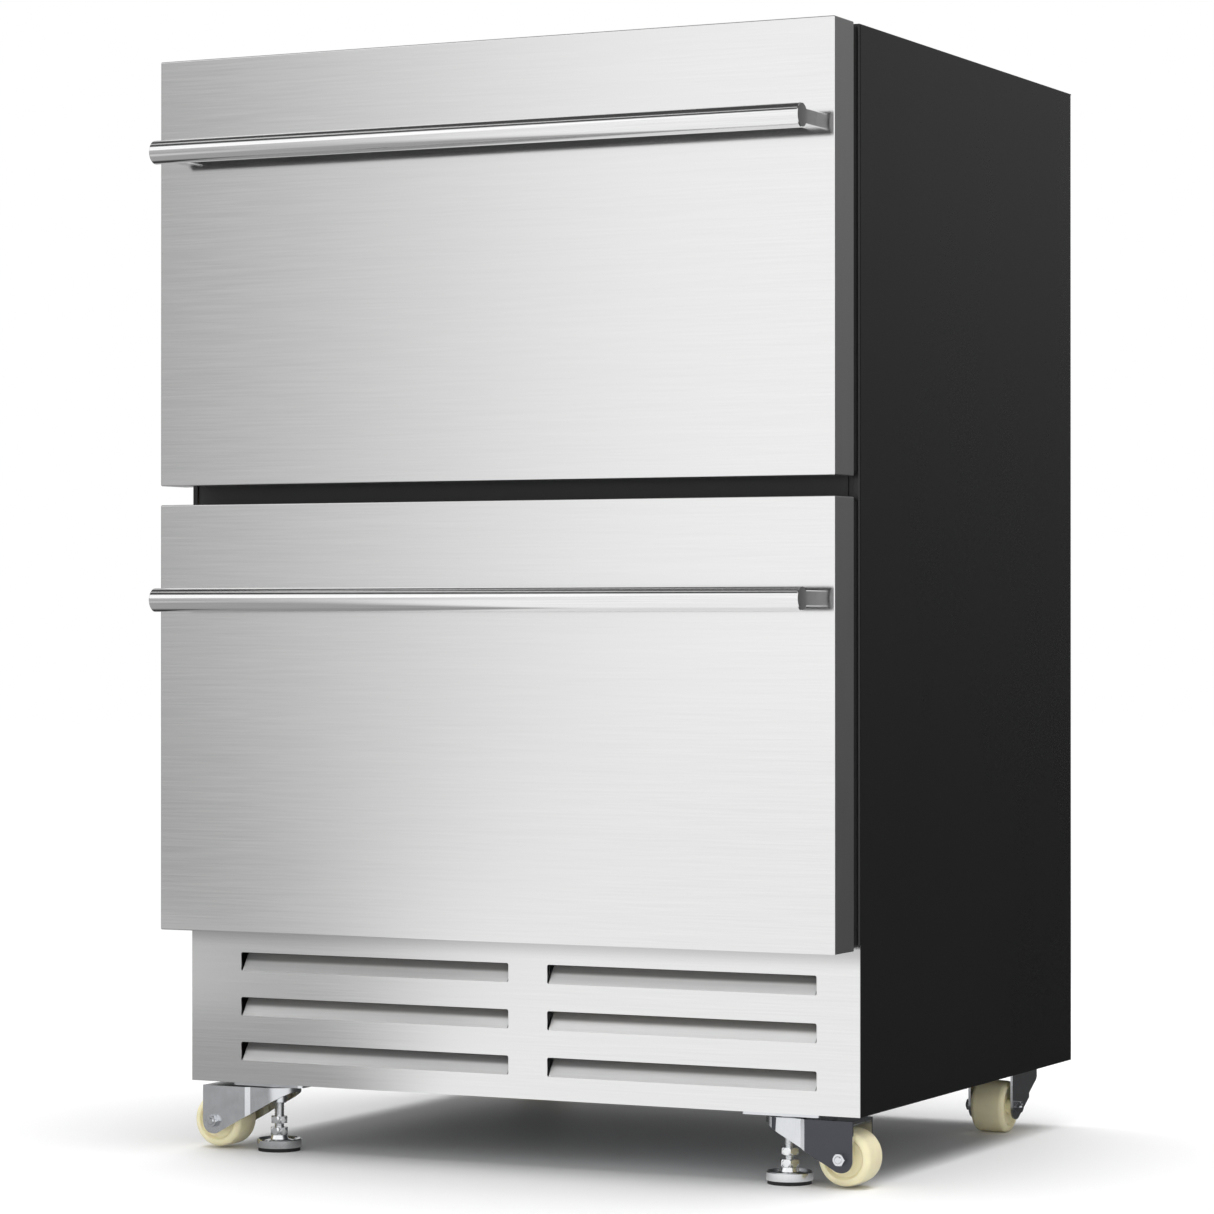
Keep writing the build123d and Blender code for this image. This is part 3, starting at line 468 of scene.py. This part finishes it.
def threaded_stem(side):
    """Levelling stem: a metric thread from the ball neck to its chamfered tip, with two nuts."""
    node = f"front_{side}_foot_stem"
    body = f"front_{side}_foot"
    low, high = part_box(node)
    centre = (low + high) / 2
    root = STEM_RADIUS - THREAD_DEPTH
    count = round((high.z - low.z) / (THREAD_PITCH / 8))
    levels = [low.z + (high.z - low.z) * number / count for number in range(count + 1)]

    def radius(level, angle):
        turn = ((level - low.z) / THREAD_PITCH - angle / (2 * pi)) % 1.0
        ridge = min(1.0, abs(2 * turn - 1) * 1.25)
        tip = min(1.0, (high.z - level) / STEM_CHAMFER)
        neck = min(1.0, max(0.0, (level - low.z - STEM_NECK) / MM))
        return (root + (STEM_RADIUS - root) * ridge * neck) * (0.84 + 0.16 * tip)

    points, faces = stacked_rings(centre, levels, 32, radius)
    stem = mesh_piece(f"front_{side}_stem_thread", points, faces, CHROME, body)
    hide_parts(node)
    base = low.z - STEM_START
    for name, (bottom, top, flats) in (("adjusting_nut", ADJUSTING_NUT), ("lock_nut", LOCK_NUT)):
        nut(f"front_{side}_{name}", centre, base + bottom, base + top, flats, body)


# ---- studio -------------------------------------------------------------------------------
# Soft boxes as the finishes see them: left and right edge in degrees to the left of straight
# ahead of the fronts, lower and upper edge above the horizon, soft width, brightness.
SOFT_BOXES = (
    (-78, 29.5, -40, 42, 9, 1.0),
    (29.5, 90, -40, 14, 8, 0.31),
    (29.5, 90, 14, 42, 6, 1.1),
    (-80, 88, 56, 60, 3, 0.8),
    (96, 178, 4, 45, 10, 0.5),
    (-176, -100, 5, 60, 12, 0.22),
)
SHADE = 0.07


def bearing(tree, way):
    """Degrees to the left of straight ahead of the fronts, for a direction or a floor place."""
    left = tree.math("MULTIPLY", way.outputs[0], -1.0)
    front = tree.math("MULTIPLY", way.outputs[1], -1.0)
    return tree.math("MULTIPLY", tree.math("ARCTAN2", left, front), 180.0 / pi)


def studio_world():
    """White to the camera; to the finishes, a dim room with soft boxes in it."""
    world = bpy.data.worlds.new("studio")
    bpy.context.scene.world = world
    world.use_nodes = True
    world.node_tree.nodes.clear()
    tree = Tree(world.node_tree)
    way = tree.node("SeparateXYZ", {0: tree.node("TexCoord").outputs["Generated"]})
    turn = bearing(tree, way)
    rise = tree.math("MULTIPLY", tree.math("ARCSINE", way.outputs[2]), 180.0 / pi)
    boxes = []
    for right, left, low, high, soft, bright in SOFT_BOXES:
        across = tree.window(turn, right, left, soft)
        shape = tree.math("MULTIPLY", across, tree.window(rise, low, high, soft))
        boxes.append(tree.math("MULTIPLY", shape, bright))
    light = tree.math("ADD", tree.total(boxes), SHADE)
    seen = tree.node("Background", {"Color": (1.0, 1.0, 1.0, 1.0), "Strength": 1.0})
    lit = tree.node("Background", {"Color": light, "Strength": 1.0})
    camera_ray = tree.node("LightPath").outputs["Is Camera Ray"]
    mixed = tree.node("MixShader", {0: camera_ray, 1: lit.outputs[0], 2: seen.outputs[0]})
    tree.node("OutputWorld", {0: mixed.outputs[0]})


def studio_floor(radius=14.0):
    """Pale floor: soft shadow near the object, white further out, and open from below."""
    count = 96
    angles = [2 * pi * n / count for n in range(count)]
    points = [(radius * cos(angle), radius * sin(angle), 0.0) for angle in angles]
    mesh = bpy.data.meshes.new("studio_floor")
    mesh.from_pydata(points, [], [tuple(range(count))])
    floor = bpy.data.objects.new("studio_floor", mesh)
    bpy.context.scene.collection.objects.link(floor)
    material = bpy.data.materials.new("pale_floor")
    material.use_nodes = True
    material.node_tree.nodes.clear()
    tree = Tree(material.node_tree)
    where = tree.node("TexCoord").outputs["Object"]
    way = tree.node("SeparateXYZ", {0: where})
    far = tree.node("VectorMath", {0: where}, operation="LENGTH").outputs["Value"]
    speck = tree.node("TexNoise", {"Vector": where, "Scale": 60.0, "Detail": 3.0}).outputs["Fac"]
    rough = tree.node("MapRange", {0: speck, 3: 0.5, 4: 0.6}).outputs[0]
    paper = tree.node("BsdfPrincipled", {"Base Color": (0.86, 0.86, 0.86, 1.0), "Roughness": rough,
                                         "Specular IOR Level": 0.1})
    glow = tree.node("Emission", {"Color": (1.0, 1.0, 1.0, 1.0), "Strength": 1.02})
    outward = tree.step(far, 0.9, 2.2)
    pale = tree.node("MixShader", {0: outward, 1: paper.outputs[0], 2: glow.outputs[0]})
    # In reflections the floor is dark under and beside the object and bright in front of it.
    turn = bearing(tree, way)
    spread = tree.total([
        tree.math("MULTIPLY", tree.window(turn, -80, 29.5, 9), 0.95),
        tree.math("MULTIPLY", tree.window(turn, 29.5, 150, 8), 0.34),
        tree.math("MULTIPLY", tree.math("MULTIPLY", tree.window(turn, 34, 150, 8), 0.3),
                  tree.window(far, 1.6, 3.0, 0.5)),
    ])
    forward = tree.math("MULTIPLY", way.outputs[1], -1.0)
    in_front = tree.math("MULTIPLY", spread, tree.step(forward, 0.05, 0.3))
    backward = tree.step(way.outputs[1], 0.35, 0.8, 0.0, 0.4)
    behind = tree.math("MULTIPLY", tree.window(turn, 100, 180, 10), backward)
    dim = tree.total([in_front, behind, 0.05])
    mirrored = tree.node("Emission", {"Color": (1.0, 1.0, 1.0, 1.0), "Strength": dim})
    glossy_ray = tree.node("LightPath").outputs["Is Glossy Ray"]
    shown = tree.node("MixShader", {0: glossy_ray, 1: pale.outputs[0], 2: mirrored.outputs[0]})
    below = tree.node("NewGeometry").outputs["Backfacing"]
    clear = tree.node("BsdfTransparent")
    open_below = tree.node("MixShader", {0: below, 1: shown.outputs[0], 2: clear.outputs[0]})
    tree.node("OutputMaterial", {0: open_below.outputs[0]})
    mesh.materials.append(material)


def soft_box(name, at, towards, size, power, glossy):
    """Area light at one place that faces another; glossy says whether finishes mirror it."""
    data = bpy.data.lights.new(name, "AREA")
    data.shape = "RECTANGLE"
    data.size, data.size_y = size
    data.energy = power
    light = bpy.data.objects.new(name, data)
    bpy.context.scene.collection.objects.link(light)
    light.location = at
    light.rotation_mode = "QUATERNION"
    light.rotation_quaternion = (Vector(towards) - Vector(at)).to_track_quat("-Z", "Y")
    light.visible_glossy = glossy
    light.visible_camera = False


def camera():
    """Three-quarter view from the right, a little under half the height, with a long lens."""
    data = bpy.data.cameras.new("camera")
    data.sensor_width = 36.0
    data.lens = 123.0
    data.clip_start = 0.05
    data.clip_end = 60.0
    view = bpy.data.objects.new("camera", data)
    bpy.context.scene.collection.objects.link(view)
    view.location = (1.518, -3.104, 0.433)
    view.rotation_euler = (radians(90.213), 0.0, radians(26.226))
    bpy.context.scene.camera = view


def studio():
    """World, floor, one large light from above and the camera."""
    studio_world()
    studio_floor()
    soft_box("overhead", (0.15, 0.1, 3.1), (0.0, 0, 0.2), (3.6, 3.6), 184.0, glossy=False)
    bpy.context.scene.view_settings.view_transform = "Standard"
    bpy.context.scene.view_settings.look = "None"
    camera()


paint_all()
for foot_side in ("left", "right"):
    threaded_stem(foot_side)
studio()
